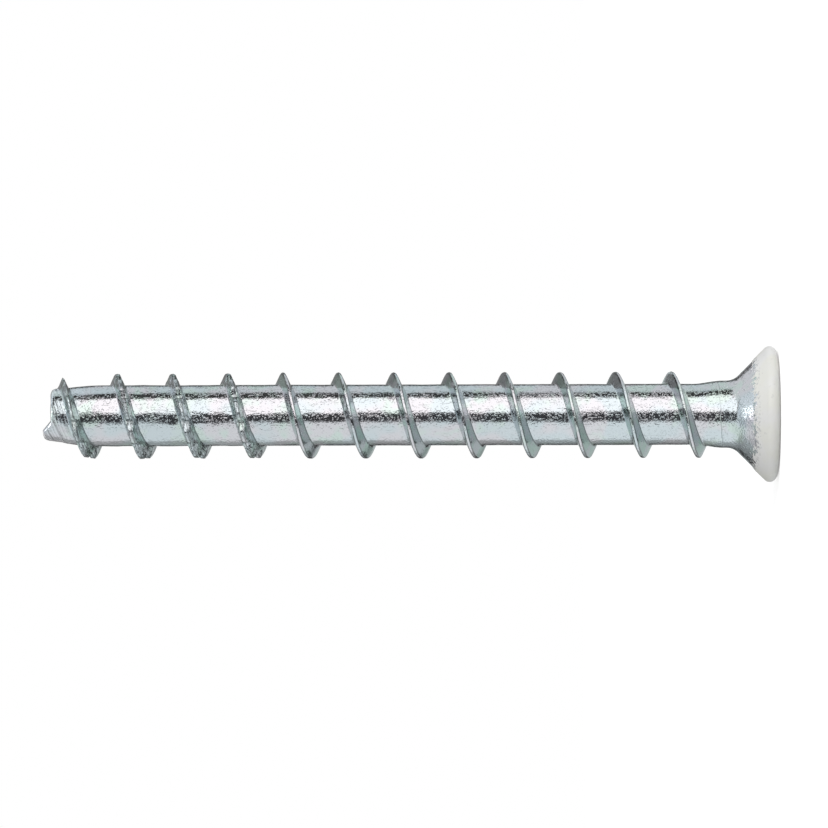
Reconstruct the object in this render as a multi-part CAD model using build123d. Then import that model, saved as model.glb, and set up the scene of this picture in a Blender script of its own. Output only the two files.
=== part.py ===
"""Concrete screw for a 6 mm drill hole, 65 mm long, with a flat countersunk head.

The screw is one piece of cold formed steel: a head upset on the end of the
wire, and a coarse thread rolled round the shank. It stands on its head. The
head face is at z = 0, the tip points up, and the origin is the middle of the
head face. Sizes are in millimetres and angles in degrees.
"""

import os
from itertools import pairwise
from math import ceil, cos, radians, sin, tan

from build123d import *

# Overall sizes
overall_length = 65.0
head_diameter = 12.0
core_diameter = 5.4
thread_diameter = 7.7

# Countersunk head with a rounded rim
countersink_angle = 90.0
rim_radius = 0.7
rim_face_steps = 3
rim_cone_steps = 2

# Neck between the head and the rolled core
neck_diameter = 5.94
under_head_radius = 1.5
under_head_steps = 2
neck_end = 5.1
neck_taper_end = 7.2

# Six-lobe drive recess
recess_lobes = 6
recess_lobe_diameter = 5.6
recess_flute_diameter = 4.05
recess_lobe_radius = 0.46
recess_depth = 3.0

# Thread ridge
thread_pitch = 4.9
crest_land = 0.2
root_width = 1.12
root_overlap = 0.5
faded_depth = 0.4
last_crest_height = 6.95
last_crest_angle = 180.0
run_out_turn = 0.45
lead_in_turn = 0.15
lead_in_gap = 0.3

# Serrations, which saw into the concrete on the turns next to the tip
serration_count = 9
serrated_turns = 4
serration_depth = 0.6
serration_width = 1.8

# Sheared tip, with a lip left standing on one side
tip_diameter = 4.5
tip_taper_length = 4.6
sheared_edge = 0.5
lip_edge = 0.3
lip_rise = 0.75
lip_offset = 0.45
lip_slope_angle = 40.0

# Worked out from the sizes above
head_radius = head_diameter / 2
core_radius = core_diameter / 2
crest_radius = thread_diameter / 2
neck_radius = neck_diameter / 2
tip_radius = tip_diameter / 2
half_cone = radians(countersink_angle / 2)
tip_taper_start = overall_length - tip_taper_length
tip_face = overall_length - lip_rise


def taper_radius(height):
    """Radius of the tapered core at a height near the tip."""
    share = (height - tip_taper_start) / (tip_taper_length - lip_edge)
    return core_radius + share * (tip_radius - core_radius)


def rounded_edge(middle, radius, start, end, steps):
    """Points along an arc of the half section, from one angle to another."""
    angles = [radians(start + (end - start) * step / steps) for step in range(steps + 1)]
    return [(middle[0] + radius * cos(angle), middle[1] + radius * sin(angle)) for angle in angles]


def turned_blank():
    """Head, neck and core before the thread is rolled, from one half section."""
    cone_normal = countersink_angle / 2
    rim_middle = (head_radius - rim_radius, rim_radius)
    rim = rounded_edge(rim_middle, rim_radius, -90, 0, rim_face_steps)
    rim += rounded_edge(rim_middle, rim_radius, 0, cone_normal, rim_cone_steps)[1:]

    widest, height = rim[-1]
    run = widest - neck_radius - under_head_radius * (1 - cos(half_cone))
    fillet_height = height + run / tan(half_cone) + under_head_radius * sin(half_cone)
    fillet_middle = (neck_radius + under_head_radius, fillet_height)
    under_head = rounded_edge(fillet_middle, under_head_radius, 180 + cone_normal, 180, under_head_steps)

    half_section = Polyline(
        (0, 0),
        *rim,
        *under_head,
        (neck_radius, neck_end),
        (core_radius, neck_taper_end),
        (core_radius, tip_taper_start),
        (tip_radius, overall_length - lip_edge),
        (tip_radius - lip_edge, overall_length),
        (0, overall_length),
        close=True,
    )
    return revolve(Plane.XZ * make_face(half_section), Axis.Z)


def sheared(blank):
    """Blank with its end sheared off, apart from a lip that stands on the -X side."""
    slope_run = lip_rise / tan(radians(lip_slope_angle))
    clear = core_diameter
    waste_side = Polygon(
        (clear, tip_face),
        (-lip_offset, tip_face),
        (-lip_offset - slope_run, overall_length),
        (-lip_offset - slope_run, overall_length + clear),
        (clear, overall_length + clear),
        align=None,
    )
    waste = extrude(Plane.XZ * waste_side, amount=clear, both=True)
    cut = blank - waste
    end_face = cut.faces().filter_by(Axis.Z).sort_by(Axis.Z)[-2]
    rim_edge = end_face.edges().filter_by(GeomType.CIRCLE)
    return chamfer(rim_edge, sheared_edge)


def thread_angle(height):
    """Angle round the shank at which the thread crest has a height, right-handed."""
    return last_crest_angle + 360 * (height - last_crest_height) / thread_pitch


def ridge_section(height, rise, local_core):
    """Section of the ridge through the axis, with its crest a rise above the local core."""
    foot = local_core - root_overlap
    crest = local_core + rise
    flank_slope = (root_width - crest_land) / 2 / (crest_radius - core_radius)
    half_foot = crest_land / 2 + flank_slope * (crest - foot)
    section = Polygon(
        (foot, -half_foot),
        (crest, -crest_land / 2),
        (crest, crest_land / 2),
        (foot, half_foot),
        align=None,
    )
    return Rot(0, 0, thread_angle(height)) * Pos(0, 0, height) * (Plane.XZ * section)


def ridge(lower, upper):
    """Ridge along the helix between two sections, each (height, rise, local core)."""
    helix = Helix(thread_pitch, upper[0] - lower[0], core_radius)
    path = Rot(0, 0, thread_angle(lower[0])) * Pos(0, 0, lower[0]) * helix
    sections = [ridge_section(*lower), ridge_section(*upper)]
    return sweep(sections, path=path, multisection=True, is_frenet=True)


def thread():
    """Run-out under the head, full turns, turns that follow the tip, and lead-in."""
    full = crest_radius - core_radius
    turns = ceil((tip_taper_start - last_crest_height) / thread_pitch)
    turn_height = (tip_taper_start - last_crest_height) / turns
    lead_in_end = tip_face - lead_in_gap
    lead_in_start = lead_in_end - lead_in_turn * thread_pitch
    stations = [(last_crest_height - run_out_turn * thread_pitch, -faded_depth, core_radius)]
    for turn in range(turns + 1):
        stations.append((last_crest_height + turn * turn_height, full, core_radius))
    stations.append((lead_in_start, full, taper_radius(lead_in_start)))
    stations.append((lead_in_end, -faded_depth, taper_radius(lead_in_end)))
    return [ridge(lower, upper) for lower, upper in pairwise(stations)]


def serration_grooves():
    """V grooves along the shank, which notch only the crests and leave a tooth at +X."""
    bottom = crest_radius - serration_depth
    clear = crest_radius + serration_depth
    half_mouth = serration_width / 2 * (clear - bottom) / serration_depth
    groove_end = Polygon((bottom, 0), (clear, -half_mouth), (clear, half_mouth), align=None)
    groove = extrude(groove_end, amount=-serrated_turns * thread_pitch - lip_rise)
    half_tooth = 180 / serration_count
    return Pos(0, 0, overall_length) * PolarLocations(0, serration_count, start_angle=half_tooth) * groove


def drive_recess():
    """Six-lobe recess sunk in the head face."""
    half_lobe = 180 / recess_lobes
    lobe_offset = recess_lobe_diameter / 2 - recess_lobe_radius
    flute = recess_flute_diameter / 2
    across = lobe_offset * cos(radians(half_lobe))
    spare = lobe_offset**2 + flute**2 - 2 * flute * across - recess_lobe_radius**2
    flute_radius = spare / (2 * (recess_lobe_radius - flute + across))
    flute_offset = flute + flute_radius

    corners = []
    for lobe in range(recess_lobes):
        angle = 2 * half_lobe * lobe
        corners.append(Vector(lobe_offset, 0).rotate(Axis.Z, angle))
        corners.append(Vector(flute_offset, 0).rotate(Axis.Z, angle + half_lobe))
    star = Polygon(*corners, align=None)
    star -= PolarLocations(flute_offset, recess_lobes, start_angle=half_lobe) * Circle(flute_radius)
    star += PolarLocations(lobe_offset, recess_lobes) * Circle(recess_lobe_radius)
    return extrude(star, amount=recess_depth)


def concrete_screw():
    """The finished screw."""
    screw = sheared(turned_blank()) + thread()
    screw = screw - serration_grooves()
    return screw - drive_recess()


if __name__ == "__main__":
    os.makedirs("parts", exist_ok=True)
    screw = concrete_screw()
    export_step(screw, "parts/concrete_screw.step")
    print("volume", round(screw.volume, 1), "mm3, valid", screw.is_valid)
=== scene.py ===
"""Concrete screw of bright plated steel, standing on its painted countersunk head."""

import math

import bmesh
import bpy
from mathutils import Matrix, Vector, noise


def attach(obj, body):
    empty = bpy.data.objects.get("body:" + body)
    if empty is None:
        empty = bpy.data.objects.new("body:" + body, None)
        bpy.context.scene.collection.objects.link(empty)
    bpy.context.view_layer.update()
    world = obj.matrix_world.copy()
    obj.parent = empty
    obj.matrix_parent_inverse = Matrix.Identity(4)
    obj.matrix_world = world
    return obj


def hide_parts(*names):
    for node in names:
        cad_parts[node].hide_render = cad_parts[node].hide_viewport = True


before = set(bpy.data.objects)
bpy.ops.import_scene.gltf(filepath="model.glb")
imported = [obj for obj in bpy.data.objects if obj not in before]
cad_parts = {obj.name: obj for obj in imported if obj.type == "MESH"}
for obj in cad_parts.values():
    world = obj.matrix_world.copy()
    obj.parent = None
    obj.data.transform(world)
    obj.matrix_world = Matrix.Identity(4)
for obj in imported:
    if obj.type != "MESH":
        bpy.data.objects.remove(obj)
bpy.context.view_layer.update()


# The shank is steel wire with a coarse right-hand thread, rolled between flat dies. Here it
# starts as a flat strip, whose rows lie along the thread and crowd together at its crest.
# The rolling further down wraps the strip round the axis. Sizes are in millimetres.
pitch = 4.9
core_radius = 2.70
ridge_height = 1.15
crest_land = 0.2
root_width = 1.12
neck_radius = 2.97
neck_end = 5.1
neck_taper_end = 7.2
under_head_radius = 1.5
bare_cone_sum = 6.89  # radius and height added, which is the same all over the bare cone
neck_start = bare_cone_sum - neck_radius + under_head_radius * (math.sqrt(2) - 1)
last_crest_height = 6.95
last_crest_angle = 180.0
run_out_height = 2.205
lead_in_start = 63.215
lead_in_end = 63.95
faded_depth = 0.4
tip_taper_start = 60.4
tip_wall_end = 63.88
tip_wall_radius = 2.34
columns = 192
seam_column = 27
seam_angle = seam_column * 360 / columns
rows_beside_crest = (0.09, 0.15, 0.20, 0.32, 0.45, 0.54, 0.60, 0.67, 0.78, 1.05, 1.5, 2.0)

first_lead = last_crest_height - pitch * (last_crest_angle - seam_angle) / 360


def ring_angle(column):
    """Angle round the axis of a column of the mesh, in radians."""
    return math.radians(seam_angle + 360 * column / columns)


def blank_rows():
    """Heights at the seam of the rows that run along the thread, crest by crest."""
    steps = sorted([0.0, pitch / 2, *rows_beside_crest, *[-row for row in rows_beside_crest]])
    lowest = neck_start - pitch
    first = math.floor((lowest - first_lead) / pitch)
    last = math.ceil((tip_wall_end - first_lead) / pitch)
    rows = [first_lead + pitch * crest + step for crest in range(first, last + 1) for step in steps]
    inside = [row for row in rows if lowest < row < tip_wall_end]
    return [lowest, *inside, tip_wall_end]


def add_rows(mesh, rows, closed):
    """Quads between rows of points that are already in the bmesh."""
    for lower, upper in zip(rows, rows[1:]):
        last = len(lower) if closed else len(lower) - 1
        for column in range(last):
            after = (column + 1) % len(lower)
            mesh.faces.new((lower[column], lower[after], upper[after], upper[column]))


blank = bmesh.new()
rolled_mark = blank.verts.layers.float.new("rolled")
coat_mark = blank.verts.layers.float.new("coat")
strip = []
for row_lead in blank_rows():
    along_row = [blank.verts.new((row_lead, column / columns, 0)) for column in range(columns + 1)]
    for point in along_row:
        point[rolled_mark] = 1.0
    strip.append(along_row)
add_rows(blank, strip, closed=False)


# The head was upset on the wire's end and has a flat face, a rounded rim, a cone of 90
# degrees and a six-lobe recess. Off-white paint covers the face, the rim and about half of
# the cone, and ends in a ragged edge.
head_radius = 6.0
rim_radius = 0.7
face_round = 1.0
cone_slope = math.pi / 4
paint_depth = 0.10
coat_edge_height = 2.17
coat_edge_wander = 0.14
coat_edge_band = 0.3
coat_row_step = 0.05
coat_fade = 0.3
coat_lumps = 0.012
lobe_offset = 2.34
lobe_radius = 0.46
flute_radius = 1.0
half_lobe = 30
recess_depth = 3.0
recess_edge = 0.06
noise_radius = 3


def lerp(start, end, share):
    """Point or number that lies a share of the way from start to end."""
    return start + (end - start) * share


def held(share):
    """Share that is kept from 0 to 1."""
    return min(1.0, max(0.0, share))


def round_noise(angle, height, scale, seed):
    """Noise from -1 to 1 that closes up round the axis."""
    east_side = math.cos(angle) * noise_radius * scale
    north_side = math.sin(angle) * noise_radius * scale
    return noise.noise((east_side, north_side, height * scale + seed))


def coat_edge(angle):
    """Height of the paint's edge on the cone."""
    wander = round_noise(angle, 0, 0.9, 11.0) + 0.5 * round_noise(angle, 0, 3.1, 23.0)
    return coat_edge_height + coat_edge_wander * wander


def coat_share(height, angle):
    """Share of the full coat at a height on the cone, from 0 to 1."""
    share = held((coat_edge(angle) - height) / coat_fade + 0.5)
    return share * share * (3 - 2 * share)


def circle_reach(offset, radius, turn, side):
    """Distance from the axis to the far side, 1, or near side, -1, of a circle beside it."""
    return offset * math.cos(turn) + side * math.sqrt(radius**2 - (offset * math.sin(turn)) ** 2)


def lobed_radius(angle):
    """Radius of the six-lobe recess: a lobe circle outside, a flute circle between lobes."""
    flute_angle = math.radians(half_lobe)
    reach = lobe_radius + flute_radius
    along = lobe_offset * math.cos(flute_angle)
    aside = lobe_offset * math.sin(flute_angle)
    flute_offset = along + math.sqrt(reach**2 - aside**2)
    touch_share = lobe_radius / reach
    touch_x = lerp(lobe_offset, flute_offset * math.cos(flute_angle), touch_share)
    touch_y = flute_offset * math.sin(flute_angle) * touch_share
    folded = abs((math.degrees(angle) + half_lobe) % (2 * half_lobe) - half_lobe)
    if math.radians(folded) < math.atan2(touch_y, touch_x):
        return circle_reach(lobe_offset, lobe_radius, math.radians(folded), 1)
    return circle_reach(flute_offset, flute_radius, math.radians(half_lobe - folded), -1)


def head_point(stage, share, angle):
    """Radius and height on the head's outline, from the middle of the recess to the neck."""
    edge = lobed_radius(angle)
    if stage == "floor":
        return edge * share, recess_depth
    if stage == "wall":
        return edge, lerp(recess_depth, recess_edge, share)
    if stage == "face":
        return lerp(edge + recess_edge, head_radius - face_round, share), 0.0
    if stage == "rim":
        turn = lerp(-math.pi / 2, cone_slope, share)
        reach = face_round if turn < 0 else rim_radius
        radius = head_radius - reach + reach * math.cos(turn)
        return radius, rim_radius + rim_radius * math.sin(turn)
    if stage == "fillet":
        turn = lerp(math.pi + cone_slope, math.pi, share)
        radius = neck_radius + under_head_radius + under_head_radius * math.cos(turn)
        return radius, neck_start + under_head_radius * math.sin(turn)
    height = share
    lump = coat_lumps * round_noise(angle, height, 2.2, 5.0)
    coat_depth = (paint_depth - coat_lumps + lump) * coat_share(height, angle)
    return bare_cone_sum - height + coat_depth, height


rim_end = rim_radius + rim_radius * math.sin(cone_slope)
band_start = coat_edge_height - coat_edge_band
band_end = coat_edge_height + coat_edge_band
cone_end = neck_start - under_head_radius * math.sin(cone_slope)
stages = [("floor", step / 4) for step in range(1, 5)]
stages += [("wall", step / 4) for step in range(1, 5)]
stages += [("face", step / 4) for step in range(5)]
stages += [("rim", step / 12) for step in range(1, 12)]
stages += [("cone", lerp(rim_end, band_start, step / 4)) for step in range(5)]
stages += [("cone", band_start + coat_row_step * step) for step in range(1, 13)]
stages += [("cone", lerp(band_end, cone_end, step / 6)) for step in range(1, 6)]
stages += [("fillet", step / 8) for step in range(9)]

head = []
for stage, share in stages:
    circle = []
    for column in range(columns):
        angle = ring_angle(column)
        radius, height = head_point(stage, share, angle)
        point = blank.verts.new((radius * math.cos(angle), radius * math.sin(angle), height))
        if stage != "fillet":
            point[coat_mark] = held(0.5 + coat_edge(angle) - height)
        circle.append(point)
    head.append(circle)
add_rows(blank, head, closed=True)
floor_middle = blank.verts.new((0, 0, recess_depth))
floor_middle[coat_mark] = 1.0
for column in range(columns):
    blank.faces.new((floor_middle, head[0][(column + 1) % columns], head[0][column]))


# The tip is where the rolled wire was sheared off. It is chamfered, apart from a lip that
# the shear left standing on one side.
tip_face = 64.31
lip_top = 64.99
lip_foot = -0.52
lip_slope = 0.84
lip_run = 0.8
end_sag = 0.06
shear_waves = 0.03
shear_marks = 0.012
sheared_edge = 0.42
lip_edge = 0.5
edge_place = 0.9
edge_bulge = 0.06
lip_bulge = 0.3
wall_lean = 0.14
tip_offset = 0.07
wall_shares = (0.0, 0.33, 0.67, 1.0)
edge_shares = (0.2, 0.5, 0.8, 1.0)
end_shares = [1 - step / 12 for step in range(1, 12)]


def end_height(x, y):
    """Height of the sheared end over a point of the section, with the lip and the marks."""
    slope = tip_face + max(0.0, lip_foot - x) * lip_slope
    waves = shear_waves * noise.noise((x * 1.4, y * 1.4, 3.0))
    marks = shear_marks * noise.noise((x * 5, y * 5, 9.0))
    return min(slope, lip_top) - end_sag * y**2 + (waves + marks) - shear_waves


def edge_size(x):
    """Size of the broken edge: a chamfer on the sheared side and a round on the lip."""
    return lerp(sheared_edge, lip_edge, held((lip_foot - x) / lip_run))


tip = [[] for _ in (*wall_shares, *edge_shares, *end_shares)]
for column in range(columns):
    angle = ring_angle(column)
    outward = Vector((math.cos(angle), math.sin(angle)))
    edge = edge_size(outward.x * tip_wall_radius * edge_place)
    inside_edge = tip_wall_radius - edge
    wall_top = end_height(outward.x * inside_edge, outward.y * inside_edge) - edge
    wall_rise = max(tip_wall_end, wall_top) - tip_wall_end
    outline = []
    for share in wall_shares:
        radius = tip_wall_radius - wall_lean * wall_rise * share
        outline.append((radius, tip_wall_end + wall_rise * share))
    edge_start, edge_foot = outline[-1]
    end_radius = edge_start - edge
    end_top = end_height(outward.x * end_radius, outward.y * end_radius)
    for share in edge_shares:
        bulge = (edge_bulge + lip_bulge * edge) * math.sin(share * math.pi) * edge
        outline.append((edge_start - edge * share + bulge, lerp(edge_foot, end_top, share) + bulge))
    for share in end_shares:
        radius = end_radius * share
        outline.append((radius, end_height(outward.x * radius, outward.y * radius)))
    for circle, (radius, height) in zip(tip, outline):
        place = (outward.x * radius + tip_offset, outward.y * radius, height)
        circle.append(blank.verts.new(place))
add_rows(blank, tip, closed=True)
end_middle = blank.verts.new((tip_offset, 0, end_height(0, 0)))
for column in range(columns):
    blank.faces.new((end_middle, tip[-1][column], tip[-1][(column + 1) % columns]))

blank_mesh = bpy.data.meshes.new("blank")
blank.to_mesh(blank_mesh)
blank.free()


# Flat dies roll the thread out of the shank's steel, and notch its ridge into teeth on the
# turns next to the tip. Here a Geometry Nodes tree does that: it wraps the strip round the
# axis, raises the ridge, cuts the notches and closes the shank to the head and the tip.
class Value:
    """A node's output. Sums written on it add Math nodes to its tree."""

    def __init__(self, socket):
        self.socket = socket

    def output(self, name):
        """Another output of the same node."""
        return Value(self.socket.node.outputs[name])

    def maths(self, operation, *others):
        tree = self.socket.id_data
        return add_node(tree, "ShaderNodeMath", {"operation": operation}, [self, *others])

    def __add__(self, other):
        return self.maths("ADD", other)

    __radd__ = __add__

    def __sub__(self, other):
        return self.maths("SUBTRACT", other)

    def __rsub__(self, other):
        return self * -1 + other

    def __mul__(self, other):
        return self.maths("MULTIPLY", other)

    __rmul__ = __mul__

    def __truediv__(self, other):
        return self.maths("DIVIDE", other)

    def __rtruediv__(self, other):
        return self.maths("POWER", -1.0) * other

    def __abs__(self):
        return self.maths("ABSOLUTE")

    def least(self, other):
        return self.maths("MINIMUM", other)

    def most(self, other):
        return self.maths("MAXIMUM", other)

    def between(self, low, high):
        """0 below low, 1 above high and a smooth step between them."""
        tree = self.socket.id_data
        settings = {"interpolation_type": "SMOOTHSTEP"}
        return add_node(tree, "ShaderNodeMapRange", settings, [self, low, high, 0.0, 1.0])


def add_node(tree, kind, settings=None, sockets=()):
    """Adds a node, sets it up, fills its sockets with values or links, and returns an output."""
    node = tree.nodes.new(kind)
    for name, setting in (settings or {}).items():
        setattr(node, name, setting)
    pairs = sockets.items() if isinstance(sockets, dict) else enumerate(sockets)
    for key, content in pairs:
        if isinstance(content, Value):
            tree.links.new(content.socket, node.inputs[key])
        else:
            node.inputs[key].default_value = content
    return Value(node.outputs[0]) if node.outputs else None


def split_place(tree, place):
    """The three numbers of a place."""
    parts = add_node(tree, "ShaderNodeSeparateXYZ", None, [place])
    return [parts.output(axis) for axis in "XYZ"]


thread_sizes = {
    "Pitch": pitch,
    "Core Radius": core_radius,
    "Ridge Height": ridge_height,
    "Crest Land": crest_land,
    "Root Width": root_width,
    "Root Fillet": 0.16,
    "Crest Round": 0.26,
    "Lean": 0.035,
    "Notches a Turn": 9.0,
    "Notched From": 44.65,
    "Notch Depth": 0.66,
    "Notch Width": 1.9,
    "Notch Round": 0.17,
    "Notch Swell": 0.03,
    "Tooth Bluntness": 0.06,
    "Tooth Lean": 0.08,
    "Burr": 0.08,
    "Waviness": 0.03,
    "Seed": 4.0,
}
millimetre = 0.001
neck_blend = 0.2
swelling_rise = (61.2, 62.1)
swelling_fall = (62.7, 63.5)
swelling_size = 0.1
rear_land_extra = 0.05
notch_wander = 4
least_notch_depth = 0.85
notch_depth_spread = 0.3
notch_swell_start = 0.5
notch_swell_end = 1.7
sharp_land_loss = 0.9
rougher_from = (43.0, 46.0)
ridge_end_slope = 1.77
join_width = 0.4
out_of_reach = 10
smallest_gap = 0.002
crisp_angle = math.radians(38)

roll = bpy.data.node_groups.new("rolled thread", "GeometryNodeTree")
roll.interface.new_socket("Blank", in_out="INPUT", socket_type="NodeSocketGeometry")
for name in thread_sizes:
    roll.interface.new_socket(name, in_out="INPUT", socket_type="NodeSocketFloat")
roll.interface.new_socket("Finish", in_out="INPUT", socket_type="NodeSocketMaterial")
roll.interface.new_socket("Screw", in_out="OUTPUT", socket_type="NodeSocketGeometry")
entry = add_node(roll, "NodeGroupInput")
size = {name: entry.output(name) for name in thread_sizes}

strip_lead, turn, _ = split_place(roll, add_node(roll, "GeometryNodeInputPosition"))
strip_height = (strip_lead + size["Pitch"] * turn).most(neck_start).least(tip_wall_end)
lead = strip_height - size["Pitch"] * turn
whole = ((lead - first_lead) / size["Pitch"]).maths("ROUND")
beside_crest = lead - first_lead - whole * size["Pitch"]
crest_height = (whole + turn) * size["Pitch"] + first_lead
strip_angle = (turn * 360 + seam_angle) * (math.pi / 180)
cosine = strip_angle.maths("COSINE")
sine = strip_angle.maths("SINE")

narrowing = 1 - strip_height.between(neck_end - neck_blend, neck_taper_end + neck_blend)
taper = (strip_height - tip_taper_start).most(0.0) / (tip_wall_end - tip_taper_start)
core = size["Core Radius"] + narrowing * (neck_radius - core_radius)
core = core - taper * (core_radius - tip_wall_radius)
swelling = strip_height.between(*swelling_rise) * (1 - strip_height.between(*swelling_fall))
core = core + swelling * (cosine * -swelling_size).most(0.0)

full = size["Ridge Height"]
run_out_share = (crest_height - (last_crest_height - run_out_height)) / run_out_height
run_out = run_out_share * (full + faded_depth) - faded_depth
lead_in_share = (lead_in_end - crest_height) / (lead_in_end - lead_in_start)
lead_in = lead_in_share * (full + faded_depth) - faded_depth
rise = run_out.least(lead_in).least(full - (cosine + 1) * size["Lean"])
sharp = crest_height.between(tip_taper_start, lead_in_start)
crest_degrees = (whole + turn) * 360 + seam_angle
tooth_angle = 360 / size["Notches a Turn"]
notch = (crest_degrees / tooth_angle - 0.5).maths("ROUND")


def notch_random(offset):
    """A number from 0 to 1 that belongs to one notch."""
    sockets = {"W": notch + size["Seed"] + offset}
    return add_node(roll, "ShaderNodeTexWhiteNoise", {"noise_dimensions": "1D"}, sockets)


notch_degrees = (notch + 0.5) * tooth_angle
notch_shift = (notch_random(0.3) - 0.5) * notch_wander
beside_notch = (crest_degrees - notch_degrees + notch_shift) * (math.pi / 180)
notched = crest_height.maths("GREATER_THAN", size["Notched From"])
crest_radius = size["Core Radius"] + full
notch_reach = size["Notch Width"] / 2 / crest_radius
swell_span = (notch_reach * notch_swell_start, notch_reach * notch_swell_end)
near_notch = (1 - abs(beside_notch).between(*swell_span)) * notched
notch_slope = size["Notch Width"] / 2 / size["Notch Depth"]
depth_share = notch_random(7.3) * notch_depth_spread + least_notch_depth
notch_bottom = crest_radius - size["Notch Depth"] * depth_share
notch_spread = beside_notch.maths("COSINE") * notch_slope - abs(beside_notch).maths("SINE")
sawn = notch_bottom * notch_slope / notch_spread

bluntness = size["Tooth Bluntness"] * notched * (1 - sharp)
half_land = size["Crest Land"] * (1 - sharp * sharp_land_loss) / 2
half_land = half_land + size["Notch Swell"] * near_notch
half_land = half_land + (cosine * -rear_land_extra).most(0.0) + bluntness
flank_run = (size["Root Width"] - size["Crest Land"]) / 2 - bluntness
fall = (abs(beside_crest) - half_land) / flank_run * full
rise = rise - cosine * size["Tooth Lean"] * notched
peak = (rise - fall).maths("SMOOTH_MIN", rise, size["Crest Round"])
ridge_end = (tip_wall_end - strip_height) * ridge_end_slope
ridge = peak.maths("SMOOTH_MAX", 0.0, size["Root Fillet"]).least(ridge_end)

noise_sides = [cosine * noise_radius, sine * noise_radius, strip_height]
noise_place = add_node(roll, "ShaderNodeCombineXYZ", None, noise_sides)


def rolled_noise(scale, detail):
    """Noise on the rolled surface, from -1 to 1."""
    settings = {"noise_dimensions": "4D"}
    sockets = {"Vector": noise_place, "W": size["Seed"], "Scale": scale, "Detail": detail}
    return add_node(roll, "ShaderNodeTexNoise", settings, sockets) * 2 - 1


def marked(geometry, name, value):
    """Geometry with a number at each of its points, which the finish reads."""
    settings = {"data_type": "FLOAT", "domain": "POINT"}
    sockets = {"Geometry": geometry, "Name": name, "Value": value}
    return add_node(roll, "GeometryNodeStoreNamedAttribute", settings, sockets)


past_neck = strip_height.between(neck_start, neck_start + join_width)
at_tip = strip_height.between(tip_wall_end - join_width, tip_wall_end)
burr = rolled_noise(2.4, 2.0) * size["Burr"] * notched * ridge.between(0.1, 0.7)
wave = rolled_noise(0.45, 1.0) + rolled_noise(1.6, 1.0) * 0.5
wave = wave * size["Waviness"] * (1 + strip_height.between(*rougher_from))
notch_limit = sawn + (1 - notched) * out_of_reach
toothed_radius = (core + ridge).maths("SMOOTH_MIN", notch_limit, size["Notch Round"])
toothed_radius = toothed_radius.most(core.least(crest_radius))
rolled_radius = toothed_radius + (burr + wave) * (past_neck * (1 - at_tip))

rolled_sides = [cosine * rolled_radius + taper * tip_offset, sine * rolled_radius, strip_height]
rolled_place = add_node(roll, "ShaderNodeCombineXYZ", None, rolled_sides)
rolled_name = {"Name": "rolled"}
is_rolled = add_node(roll, "GeometryNodeInputNamedAttribute", {"data_type": "FLOAT"}, rolled_name)
shaped = marked(entry.output("Blank"), "ridge", is_rolled * (ridge / full))
shaped = marked(shaped, "toothed", is_rolled * notched * ridge.between(0.02, 0.3))
shaped = marked(shaped, "across", beside_crest)
shaped = add_node(
    roll,
    "GeometryNodeSetPosition",
    None,
    {
        "Geometry": shaped,
        "Selection": is_rolled.maths("GREATER_THAN", 0.5),
        "Position": rolled_place,
    },
)
shaped = add_node(
    roll,
    "GeometryNodeMergeByDistance",
    None,
    {"Geometry": shaped, "Distance": smallest_gap},
)
shaped = add_node(
    roll,
    "GeometryNodeTransform",
    None,
    {"Geometry": shaped, "Scale": (millimetre, millimetre, millimetre)},
)
shaped = add_node(
    roll,
    "GeometryNodeSetShadeSmooth",
    {"domain": "FACE"},
    {"Geometry": shaped, "Shade Smooth": True},
)
corner = add_node(roll, "GeometryNodeInputMeshEdgeAngle")
shaped = add_node(
    roll,
    "GeometryNodeSetShadeSmooth",
    {"domain": "EDGE"},
    {"Geometry": shaped, "Shade Smooth": corner.maths("LESS_THAN", crisp_angle)},
)
shaped = add_node(roll, "GeometryNodeRealizeInstances", None, {"Geometry": shaped})
shaped = add_node(
    roll,
    "GeometryNodeSetMaterial",
    None,
    {"Geometry": shaped, "Material": entry.output("Finish")},
)
add_node(roll, "NodeGroupOutput", None, {"Screw": shaped})


# The steel is plated with bright blue-passivated zinc, which has a fine grain, and its head
# is coated with off-white paint. Both are one material, in which the coat that the mesh
# carries tells paint from zinc.
zinc_blue = (0.66, 0.72, 0.75, 1)
zinc_violet = (0.73, 0.71, 0.74, 1)
zinc_green = (0.66, 0.75, 0.71, 1)
flank_green = (0.46, 0.58, 0.54, 1)
flank_grey = (0.54, 0.57, 0.60, 1)
ring_shade_grey = (0.25, 0.27, 0.28, 1)
tooth_shade_grey = (0.36, 0.40, 0.38, 1)
tip_shade_grey = (0.20, 0.21, 0.21, 1)
root_shade_grey = (0.22, 0.25, 0.25, 1)
crease_shade_grey = (0.15, 0.16, 0.16, 1)
crest_edge_grey = (0.16, 0.17, 0.17, 1)
paint_cream = (0.83, 0.83, 0.78, 1)
paint_white = (0.84, 0.84, 0.83, 1)
scuff_grey = (0.55, 0.55, 0.54, 1)
speck_grey = (0.50, 0.51, 0.51, 1)
zinc_roughness = 0.13
paint_roughness = 0.47
ring_height = 4.95
ring_tilt = 0.06
ring_wander = 0.3
ring_width = 0.08
head_line_offset = 0.13
tip_line_offset = 0.15
line_wander = 0.12

# Heights and depths of the finish are in thousandths of a millimetre.
grain_height = 6
grain_patch_height = 8
dimple_height = 11
swell_height = 10
pit_depth = 14
scratch_depth = 7
ring_depth = 9
stria_height = 3
groove_depth = 20
tooth_line_height = 14
tooth_lump_height = 48
crease_depth = 20
paint_wave_height = 14
paint_grain_height = 3


def new_material(name):
    """Material with an empty node tree."""
    material = bpy.data.materials.new(name)
    material.use_nodes = True
    material.node_tree.nodes.clear()
    return material


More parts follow.
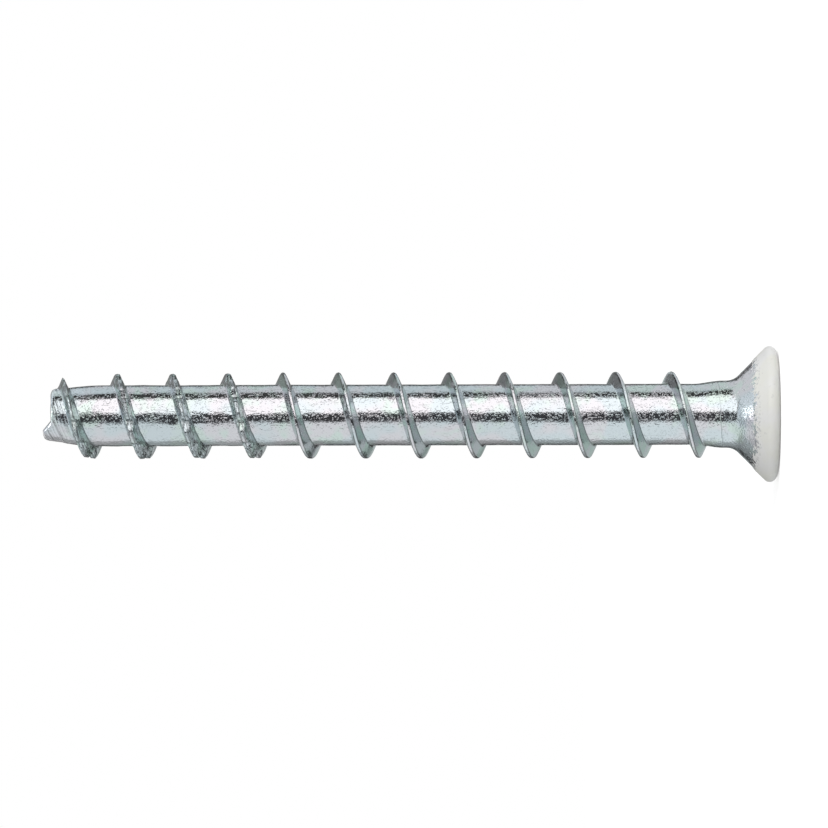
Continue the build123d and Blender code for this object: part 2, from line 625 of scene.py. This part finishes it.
finish = new_material("plated_and_painted_steel")
surface = finish.node_tree
on_object = add_node(surface, "ShaderNodeTexCoord").output("Object")
enlarged = {0: on_object, "Scale": 1 / millimetre}
millimetres = add_node(surface, "ShaderNodeVectorMath", {"operation": "SCALE"}, enlarged)
east, north, up = split_place(surface, millimetres)
lead_turn = up / pitch - north.maths("ARCTAN2", east) / (2 * math.pi)


def mark_on_mesh(name):
    """Number that the mesh carries at each point."""
    return add_node(surface, "ShaderNodeAttribute", {"attribute_name": name}).output("Fac")


def spots(scale, detail, offset=0.0):
    """Noise over the surface, with a scale in features a millimetre."""
    settings = {"noise_dimensions": "4D"}
    sockets = {"Vector": millimetres, "W": offset, "Scale": scale, "Detail": detail}
    return add_node(surface, "ShaderNodeTexNoise", settings, sockets)


def stretched_noise(place, detail):
    """Noise over a place that is already stretched to size."""
    sockets = {"Vector": place, "Scale": 1.0, "Detail": detail}
    return add_node(surface, "ShaderNodeTexNoise", None, sockets)


def thread_lines(count, shift=0.0):
    """Wave from -1 to 1 with so many lines to a pitch, which run along the thread."""
    return (lead_turn * (2 * math.pi * count) + shift).maths("SINE")


def mix_colours(factor, first, second):
    """Colour between two, each a link or four numbers."""
    sockets = {0: factor, 6: first, 7: second}
    return add_node(surface, "ShaderNodeMix", {"data_type": "RGBA"}, sockets).output(2)


ridge_share = mark_on_mesh("ridge")
coat = mark_on_mesh("coat")
toothed = mark_on_mesh("toothed")
crest_offset = mark_on_mesh("across")
tint = mix_colours(spots(0.35, 1.0, 1.0).between(0.42, 0.58), zinc_blue, zinc_violet)
tint = mix_colours(spots(0.5, 2.0, 5.0).between(0.5, 0.66), tint, zinc_green)
flank_tint = mix_colours(spots(0.8, 1.0, 8.0).between(0.4, 0.6), flank_green, flank_grey)
on_flank = ridge_share.between(0.03, 0.2) * (1 - ridge_share.between(0.84, 0.96))
tint = mix_colours(on_flank, tint, flank_tint)

dimples = spots(6.0, 0.0, 19.0).between(0.56, 0.70) * dimple_height
grain_patches = spots(0.7, 1.0, 14.0) * grain_patch_height + grain_height
grain = (spots(8.5, 1.0, 2.0) * grain_patches + dimples) * (1 - on_flank * 0.75)
swell = spots(1.1, 1.0, 6.0) * swell_height
pits = spots(3.0, 0.0, 12.0).between(0.68, 0.78) * pit_depth
scratch_sockets = {"Vector": millimetres, "Rotation": (0.5, 0.7, 0.2), "Scale": (7, 7, 0.7)}
scratch_place = add_node(surface, "ShaderNodeMapping", None, scratch_sockets)
scratches = stretched_noise(scratch_place, 1.0).between(0.66, 0.72) * scratch_depth
above_ring = up - ring_height - east * ring_tilt - spots(0.9, 1.0, 21.0) * ring_wander
ring = 1 - abs(above_ring).between(0.0, ring_width)
from_axis = (east * east + north * north).maths("SQRT")
near_tip = up.between(61.8, 63.0) * from_axis.between(1.75, 2.1)
stria = thread_lines(17) + thread_lines(41, 1) * 0.4
groove = thread_lines(5, 5.0).between(0.65, 1.0) * near_tip * (1 - east.between(-0.8, 0.0))
streak_sides = [east * 1.3, north * 1.3, crest_offset * 8]
streaks = stretched_noise(add_node(surface, "ShaderNodeCombineXYZ", None, streak_sides), 2.0)
creases = streaks.between(0.50, 0.58) * toothed
crumple = stria * spots(1.4, 0.0, 41.0) * tooth_line_height
crumple = crumple + spots(3.2, 1.0, 43.0) * tooth_lump_height
crumple = crumple * toothed - creases * crease_depth
metal_height = grain + swell - pits - scratches - ring * ring_depth
metal_height = metal_height + near_tip * stria * stria_height - groove * groove_depth + crumple
paint_height = spots(1.6, 2.0, 31.0) * paint_wave_height
paint_height = paint_height + spots(7.0, 1.0, 33.0) * paint_grain_height

# Thin dark lines are painted along both edges of the crest; those on the tip side are broken up.
wander = (streaks - 0.5) * line_wander
head_line = 1 - abs(crest_offset + head_line_offset + wander).between(0.02, 0.075)
tip_line = 1 - abs(crest_offset - tip_line_offset + wander).between(0.01, 0.06)
tip_line = tip_line * spots(1.2, 0.0, 51.0).between(0.4, 0.55)
crest_edge_lines = (head_line + tip_line).least(1.0) * ridge_share.between(0.55, 0.8)
# Painted shade: the grooves and the striations near the tip are darkened.
tip_painted_shade = groove * 0.4 + near_tip * stria.between(0.2, 1.2) * 0.3
# Painted shade: a dark line along the foot of the ridge, on its head side.
root_painted_shade = ridge_share.between(0.003, 0.02) * (1 - ridge_share.between(0.06, 0.16))
root_painted_shade = root_painted_shade * (1 - crest_offset.between(-0.1, 0.1))
# Painted shade: a grey line round the neck, along its shallow ring groove.
tint = mix_colours(ring * 0.3, tint, ring_shade_grey)
# Painted shade: the teeth are greyed, and the teeth by the tip most.
tint = mix_colours(toothed * (near_tip * 0.35 + 0.1), tint, tooth_shade_grey)
tint = mix_colours(tip_painted_shade, tint, tip_shade_grey)
tint = mix_colours(root_painted_shade * 0.8, tint, root_shade_grey)
# Painted shade: the creases on the teeth are darkened as well as dented.
tint = mix_colours(creases * 0.6, tint, crease_shade_grey)
tint = mix_colours(crest_edge_lines * 0.75, tint, crest_edge_grey)

painted = (coat + 0.04 + (spots(3.4, 3.0, 3.0) - 0.5) * 1.7).between(0.41, 0.64)
edge_band = coat.between(0.42, 0.55) * (1 - coat.between(0.85, 1.0))
specks = spots(4.5, 1.0, 17.0).between(0.52, 0.62) * edge_band
scuffs = spots(1.8, 2.0, 61.0).between(0.62, 0.72)
paint_tint = mix_colours(spots(0.5, 2.0, 27.0).between(0.35, 0.65), paint_cream, paint_white)
paint_tint = mix_colours(scuffs * 0.3, paint_tint, scuff_grey)
paint_tint = mix_colours(specks * 0.6, paint_tint, speck_grey)

finish_height = metal_height * (1 - painted) + paint_height * painted
bump_sockets = {"Strength": 1.0, "Distance": 0.001 * millimetre, "Height": finish_height}
finish_bump = add_node(surface, "ShaderNodeBump", None, bump_sockets)
finish_shader = add_node(
    surface,
    "ShaderNodeBsdfPrincipled",
    None,
    {
        "Base Color": mix_colours(painted, tint, paint_tint),
        "Metallic": 1 - painted,
        "Roughness": painted * (paint_roughness - zinc_roughness) + zinc_roughness,
        "Normal": finish_bump,
    },
)
add_node(surface, "ShaderNodeOutputMaterial", None, {"Surface": finish_shader})


def add_object(name, data):
    """Object for a mesh, a lamp or a camera, put in the scene."""
    made = bpy.data.objects.new(name, data)
    bpy.context.scene.collection.objects.link(made)
    return made


rolling = add_object("rolling", blank_mesh)
dies = rolling.modifiers.new("dies", "NODES")
dies.node_group = roll
inputs = [item for item in roll.interface.items_tree if item.in_out == "INPUT"]
identifiers = {item.name: item.identifier for item in inputs}
for name, value in thread_sizes.items():
    dies[identifiers[name]] = value
dies[identifiers["Finish"]] = finish
bpy.context.view_layer.update()
evaluated = rolling.evaluated_get(bpy.context.evaluated_depsgraph_get())
screw = add_object("plated_screw", bpy.data.meshes.new_from_object(evaluated))
bpy.data.objects.remove(rolling)
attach(screw, "root")
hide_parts("concrete_screw")


# The floor is a pale sheet of matt paper, laid flat, that the head stands on. It looks
# white, and keeps the screw's shadow.
floor_half = 1.5
paper_grey = (0.92, 0.92, 0.92, 1)
white = (1, 1, 1, 1)
paper_glow = 0.46


def seen_light(tree):
    """1 for rays from the camera, a mirror or glass, and 0 for all others."""
    rays = add_node(tree, "ShaderNodeLightPath")
    seen = rays.output("Is Camera Ray").most(rays.output("Is Glossy Ray"))
    return seen.most(rays.output("Is Transmission Ray"))


floor_mesh = bpy.data.meshes.new("floor")
floor_corners = [
    (-floor_half, -floor_half, 0),
    (floor_half, -floor_half, 0),
    (floor_half, floor_half, 0),
    (-floor_half, floor_half, 0),
]
floor_mesh.from_pydata(floor_corners, [], [(0, 1, 2, 3)])
floor = add_object("floor", floor_mesh)
paper = new_material("pale_paper")
sheet = paper.node_tree
glow_strength = seen_light(sheet) * paper_glow
matt = add_node(sheet, "ShaderNodeBsdfDiffuse", None, {"Color": paper_grey})
glow = add_node(sheet, "ShaderNodeEmission", None, {"Color": white, "Strength": glow_strength})
both = add_node(sheet, "ShaderNodeAddShader", None, [matt, glow])
add_node(sheet, "ShaderNodeOutputMaterial", None, {"Surface": both})
floor_mesh.materials.append(paper)


# The studio is a white room with a soft window. Light, grey and black cards stand round the
# screw and hang over it, and show only in the bright metal.
near_reach = 42
far_reach = 200
degrees_a_strip = 4
card_white = (1.37, 1.36, 1.36)
card_black = (0.045, 0.045, 0.049)


def add_card(name, points, faces, light):
    """Card of plain light that only a mirror shows, from points in millimetres."""
    card_mesh = bpy.data.meshes.new(name)
    corners = [[millimetre * number for number in point] for point in points]
    card_mesh.from_pydata(corners, [], faces)
    card = add_object(name, card_mesh)
    for ray in ("camera", "diffuse", "transmission", "volume_scatter", "shadow"):
        setattr(card, "visible_" + ray, False)
    card_light = new_material(name)
    tree = card_light.node_tree
    lit = add_node(tree, "ShaderNodeEmission", None, {"Color": (*light, 1), "Strength": 1.0})
    add_node(tree, "ShaderNodeOutputMaterial", None, {"Surface": lit})
    card_mesh.materials.append(card_light)


# A standing card has a name, its two ends in degrees round the screw from the camera's side,
# its lowest and highest point, and its light.
near_cards = (
    ("upper_grey", 91.5, 141, 0.1, 70, (0.68, 0.73, 0.75)),
    ("upper_light", 91.5, 150, 70, 130, (0.86, 0.89, 0.93)),
    ("upper_gap", 66, 91.5, 0.1, 110, (0.045, 0.045, 0.045)),
    ("white_by_head", 13.6, 66, 0.1, 8, card_white),
    ("white", 8.2, 66, 8, 47, card_white),
    ("white_by_tip", 6.4, 66, 47, 81, card_white),
    ("white_top_gap", 6.4, 66, 81, 110, (0.05, 0.05, 0.05)),
    ("black_by_head", -24, 13.6, 0.1, 8, card_black),
    ("black", -25.5, 8.2, 8, 47, card_black),
    ("black_by_tip", -29, 6.4, 47, 86, card_black),
    ("over_black", -29, 6.4, 86, 130, (0.75, 0.78, 0.82)),
    ("lower_grey_by_head", -108.8, -24, 0.1, 8, (0.88, 0.92, 0.93)),
    ("lower_grey_by_neck", -108.8, -25.5, 8, 22, (0.88, 0.92, 0.93)),
    ("lower_grey", -108.8, -25.5, 22, 47, (0.82, 0.86, 0.87)),
    ("lower_grey_by_tip", -108.8, -29, 47, 130, (0.79, 0.83, 0.84)),
    ("rear_grey", -128, -108.8, 0.1, 130, (0.38, 0.40, 0.40)),
    ("rear_low_grey", -143, -128, 0.1, 46, (0.27, 0.28, 0.28)),
    ("rear_low_grey_by_tip", -147, -128, 46, 130, (0.38, 0.40, 0.40)),
    ("rear_dark_lower", -160, -143, 0.1, 46, (0.05, 0.05, 0.05)),
    ("rear_dark_by_tip", -162, -147, 46, 70, (0.04, 0.04, 0.04)),
    ("rear_dark_upper", 141, 157, 0.1, 70, (0.04, 0.04, 0.04)),
    ("rear_flank_grey", 157, 165, 0.1, 70, (0.22, 0.22, 0.22)),
    ("rear_light", 165, 182, 0.1, 21, (0.55, 0.60, 0.60)),
    ("rear_light_lower", 182, 200, 0.1, 8, (0.50, 0.54, 0.54)),
    ("rear_middle_lower", 182, 200, 8, 21, (0.36, 0.39, 0.39)),
    ("rear_dark", 165, 182, 21, 62, (0.25, 0.25, 0.25)),
    ("rear_flank_light", 182, 200, 21, 62, (0.55, 0.58, 0.58)),
)
far_cards = (
    ("far_dark", 155, 182, 0.1, 300, (0.33, 0.33, 0.33)),
    ("far_dark_lower", 182, 205, 0.1, 155, (0.15, 0.15, 0.15)),
)
for reach, standing_cards in ((near_reach, near_cards), (far_reach, far_cards)):
    for name, start, end, low, high, light in standing_cards:
        strips = max(2, round((end - start) / degrees_a_strip))
        card_points = []
        for step in range(strips + 1):
            bearing = math.radians(lerp(start, end, step / strips))
            x, y = reach * math.sin(bearing), -reach * math.cos(bearing)
            card_points += [(x, y, low), (x, y, high)]
        card_faces = []
        for left in range(0, 2 * strips, 2):
            card_faces.append((left, left + 2, left + 3, left + 1))
        add_card("card_" + name, card_points, card_faces, light)

# A flat card has a name, its corners, its height and its light.
flat_cards = (
    ("lower_ceiling", ((-42, -42), (-11, -42), (-11, 60), (-42, 60)), 131, (0.55, 0.58, 0.62)),
    ("front_ceiling", ((-11, -42), (20, -42), (20, -12), (-11, -12)), 131, (0.72, 0.76, 0.82)),
    ("bright_ceiling", ((-11, -12), (20, -12), (20, 12), (-11, 12)), 131, (3.0, 3.0, 3.0)),
    ("rear_ceiling", ((-11, 12), (20, 12), (20, 60), (-11, 60)), 131, (0.70, 0.73, 0.76)),
    ("upper_ceiling", ((20, -42), (42, -42), (42, 60), (20, 60)), 131, (0.80, 0.83, 0.87)),
    ("over_cone", ((9.5, -10), (42, -10), (42, 42), (9.5, 42)), 21.4, (0.72, 0.75, 0.77)),
    ("front_floor", ((-42, -42), (15, -42), (1, 3), (-42, 3)), 0.1, (0.60, 0.64, 0.64)),
    ("rear_floor", ((-42, 3), (42, 3), (42, 42), (-42, 42)), 0.1, (0.58, 0.62, 0.62)),
)
for name, card_corners, card_height, light in flat_cards:
    card_points = [(x, y, card_height) for x, y in card_corners]
    add_card("card_" + name, card_points, [(0, 1, 2, 3)], light)

window_aim = Vector((0, 0, 0.03))
window_light = bpy.data.lights.new("window", "AREA")
window_light.size = 0.3
window_light.energy = 0.62
window = add_object("window", window_light)
window.visible_glossy = False
window.location = (0.25, -0.25, 0.10)
window.rotation_euler = (window_aim - window.location).to_track_quat("-Z", "Y").to_euler()

room_light = 0.60
seen_room_extra = 0.40
world = bpy.data.worlds.new("white_room")
bpy.context.scene.world = world
world.use_nodes = True
room = world.node_tree
room.nodes.clear()
room_strength = seen_light(room) * seen_room_extra + room_light
back = add_node(room, "ShaderNodeBackground", None, {"Color": white, "Strength": room_strength})
add_node(room, "ShaderNodeOutputWorld", None, {"Surface": back})


# The camera looks along +Y, turned by a quarter, so that the tip points left in the picture.
# It stands nearer the head than the tip, and turns a little to keep the screw in the middle.
camera_distance = 0.37715
camera_height = 0.03210
camera_aside = 0.000088
camera_roll = 0.0027
camera_tilt = 0.0286
picture_scale = 11.305
picture_side = 828
sensor_width = 36
camera_data = bpy.data.cameras.new("camera")
camera_data.sensor_width = sensor_width
camera_data.lens = picture_scale * camera_distance * 1000 * sensor_width / picture_side
camera_data.clip_start = 0.01
camera_data.clip_end = 10
camera = add_object("camera", camera_data)
upward, ahead = math.sin(camera_tilt), math.cos(camera_tilt)
camera.matrix_world = Matrix(
    (
        (-camera_roll, 1, 0, camera_aside),
        (upward, camera_roll * upward, -ahead, -camera_distance * ahead),
        (-ahead, -camera_roll * ahead, -upward, camera_height - camera_distance * upward),
        (0, 0, 0, 1),
    )
)
bpy.context.scene.camera = camera
bpy.context.scene.view_settings.view_transform = "Standard"
